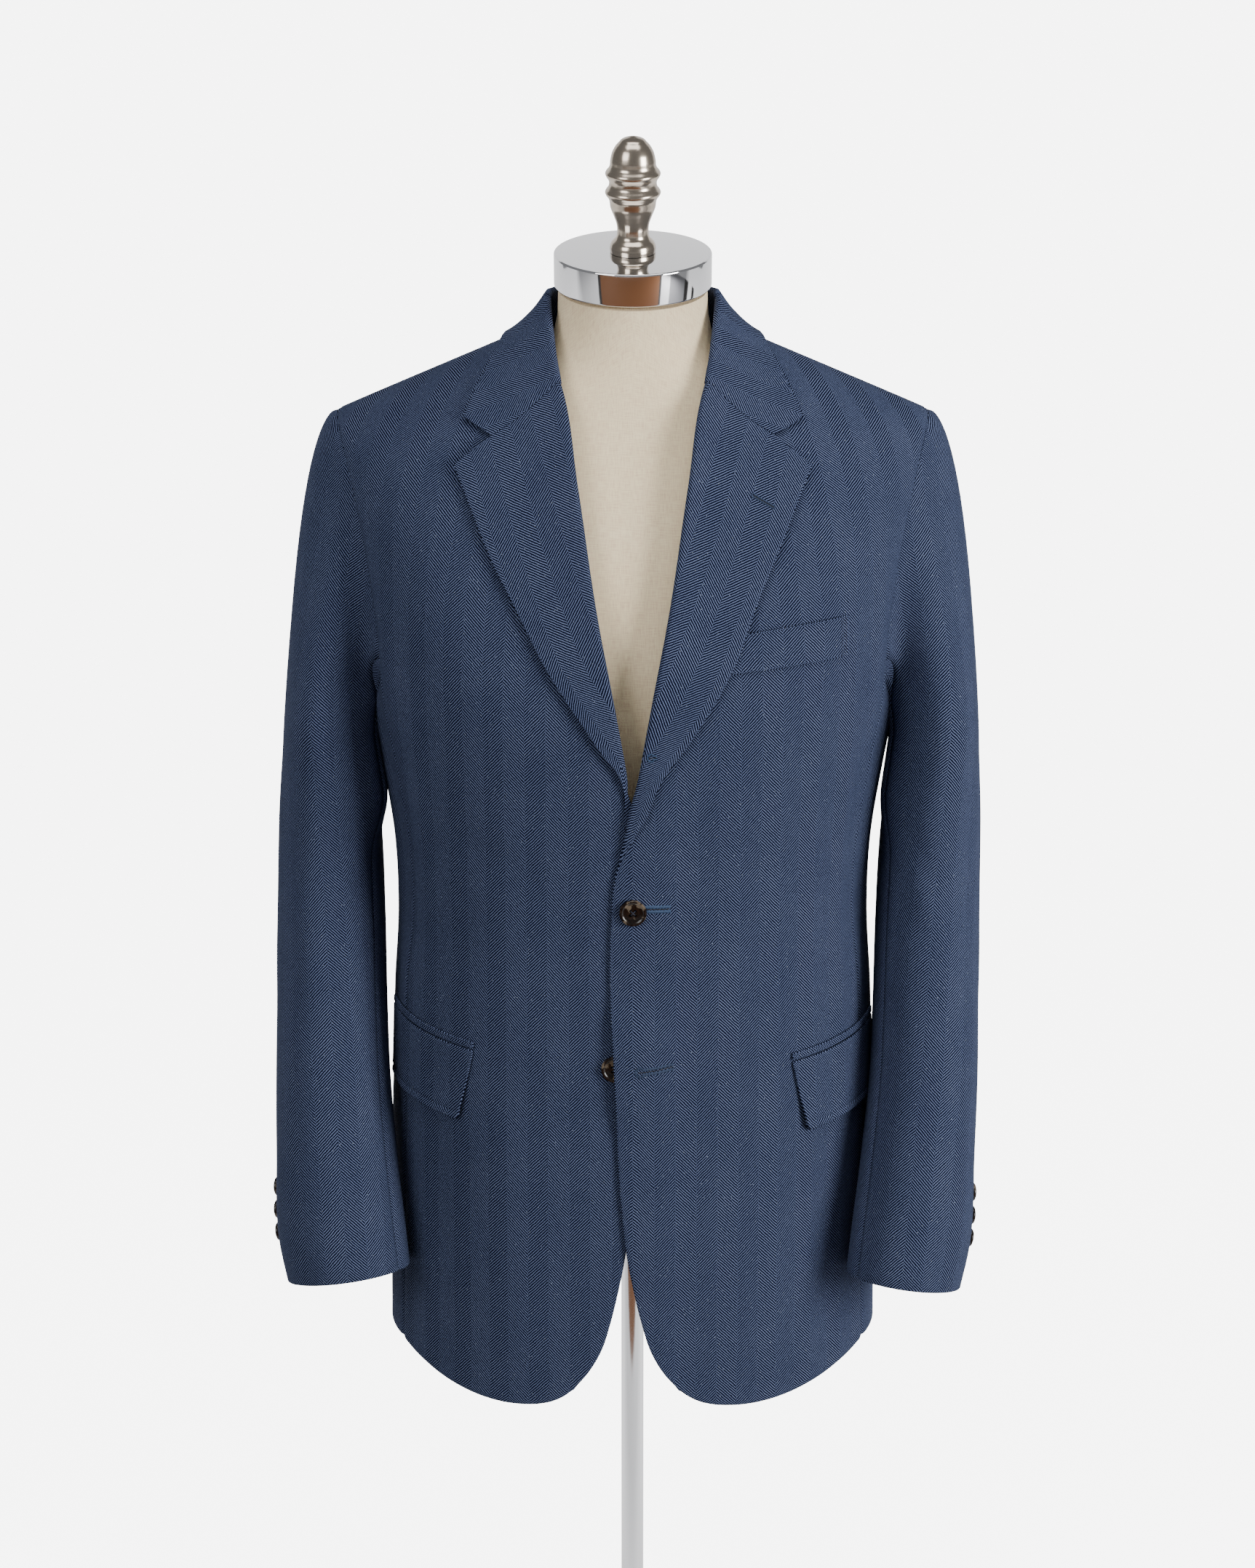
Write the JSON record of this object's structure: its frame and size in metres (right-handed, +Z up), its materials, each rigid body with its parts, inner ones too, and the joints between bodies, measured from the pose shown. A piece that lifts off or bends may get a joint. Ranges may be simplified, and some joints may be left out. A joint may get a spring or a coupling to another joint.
{
  "type": "sport coat on a dress form",
  "caption": "Blue herringbone wool sport coat with notch lapels and flap pockets, worn by a limbless dress form with a turned finial on a slim stand.",
  "frame": {"origin": "middle of the base plate's underside, on the floor", "axes": "+Z up, +X towards the wearer's left, the wearer looks along -Y"},
  "size_m": [0.5479, 0.3203, 1.2608],
  "materials": {
    "blue_wool": "brushed herringbone",
    "horn": "polished mottled horn",
    "linen": "plain woven linen",
    "chrome": "polished",
    "nickel": "satin nickel"
  },
  "bodies": {
    "root": {"back_left": "blue_wool", "back_right": "blue_wool", "base": "chrome", "breast_welt": "blue_wool", "button_1": "horn", "button_2": "horn", "collar": "blue_wool", "cuff_button_left_1": "horn", "cuff_button_left_2": "horn", "cuff_button_left_3": "horn", "cuff_button_right_1": "horn", "cuff_button_right_2": "horn", "cuff_button_right_3": "horn", "finial": "nickel", "flap_left": "blue_wool", "flap_right": "blue_wool", "form_torso": "linen", "front_left": "blue_wool", "front_right": "blue_wool", "jet_left": "blue_wool", "jet_right": "blue_wool", "lapel_left": "blue_wool", "lapel_right": "blue_wool", "neck_cap": "chrome", "post": "chrome", "side_left": "blue_wool", "side_right": "blue_wool", "sleeve_top_left": "blue_wool", "sleeve_top_right": "blue_wool", "sleeve_under_left": "blue_wool", "sleeve_under_right": "blue_wool"}
  },
  "joints": []
}
